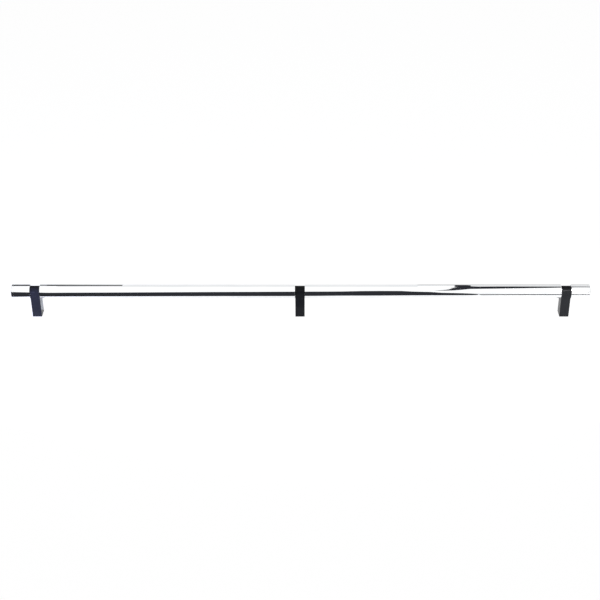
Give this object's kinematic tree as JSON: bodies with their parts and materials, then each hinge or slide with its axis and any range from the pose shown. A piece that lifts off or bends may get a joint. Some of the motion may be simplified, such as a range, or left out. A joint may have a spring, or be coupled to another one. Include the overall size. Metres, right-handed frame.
{
  "type": "pull up bar",
  "caption": "Straight polished chrome pull up bar on short black posts, for bolting to a wall, rail or joist.",
  "frame": {"origin": "centre of the middle post's foot, on the mounting surface", "axes": "+X along the bar, +Z from the mounting surface to the bar, +Y to the back, where the lock screws are"},
  "size_m": [1.328, 0.0318, 0.0769],
  "materials": {
    "polished_chrome": "mirror polished bright chrome plate",
    "black_powder_coat": "satin black powder coat",
    "bright_steel": "turned bright steel",
    "black_oxide": "black oxide on hardened steel",
    "black_acetal": "turned black acetal"
  },
  "bodies": {
    "root": {"grip_sleeve_left": "polished_chrome", "grip_sleeve_right": "polished_chrome", "outer_sleeve_left": "polished_chrome", "outer_sleeve_right": "polished_chrome", "end_cap_left": "polished_chrome", "end_cap_right": "polished_chrome", "post_left": "black_powder_coat", "post_centre": "black_powder_coat", "post_right": "black_powder_coat", "core_rod": "bright_steel", "grip_plug_left_inner": "bright_steel", "grip_plug_left_outer": "bright_steel", "grip_plug_right_inner": "bright_steel", "grip_plug_right_outer": "bright_steel", "outer_plug_left": "bright_steel", "outer_plug_right": "bright_steel", "grip_spacer_left": "black_acetal", "grip_spacer_right": "black_acetal", "post_washer_centre_left": "black_acetal", "post_washer_centre_right": "black_acetal", "post_washer_left_inner": "black_acetal", "post_washer_left_outer": "black_acetal", "post_washer_right_inner": "black_acetal", "post_washer_right_outer": "black_acetal", "cap_studs": "black_oxide", "lock_screws": "black_oxide"}
  },
  "joints": []
}
